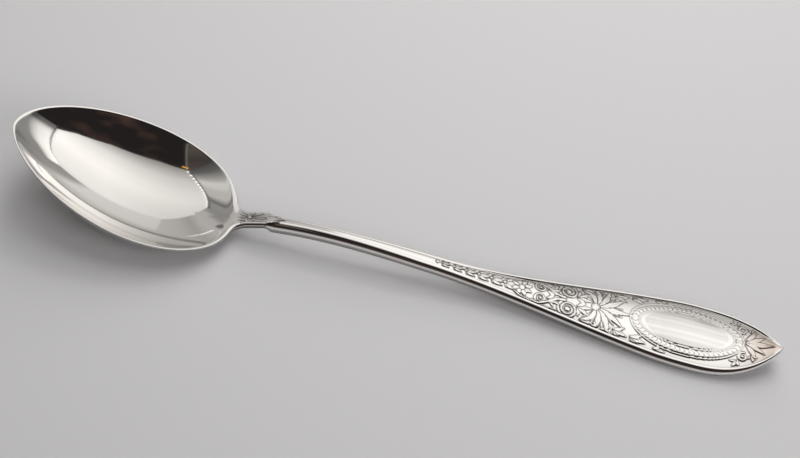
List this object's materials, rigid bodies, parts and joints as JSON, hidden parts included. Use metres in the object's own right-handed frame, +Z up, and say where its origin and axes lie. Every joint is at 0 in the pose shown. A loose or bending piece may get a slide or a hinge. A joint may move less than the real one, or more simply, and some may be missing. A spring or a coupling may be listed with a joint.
{
  "type": "child's spoon",
  "caption": "Small polished silver spoon with an egg-shaped bowl and a flared, pointed handle that has a thread border and a framed oval.",
  "frame": {"origin": "middle of the spoon's length and width, on the table it rests on", "axes": "+X along the spoon from the bowl's tip to the handle's point, +Y across it, +Z up out of the bowl"},
  "size_m": [0.15, 0.0292, 0.0138],
  "materials": {
    "polished_silver": "polished silver",
    "struck_silver": "struck silver, bright on the high places and darkened in the recesses",
    "solder_silver": "silver solder, filed flush"
  },
  "bodies": {
    "root": {"bowl": "polished_silver", "handle": "struck_silver", "solder_seam": "solder_silver"}
  },
  "joints": []
}
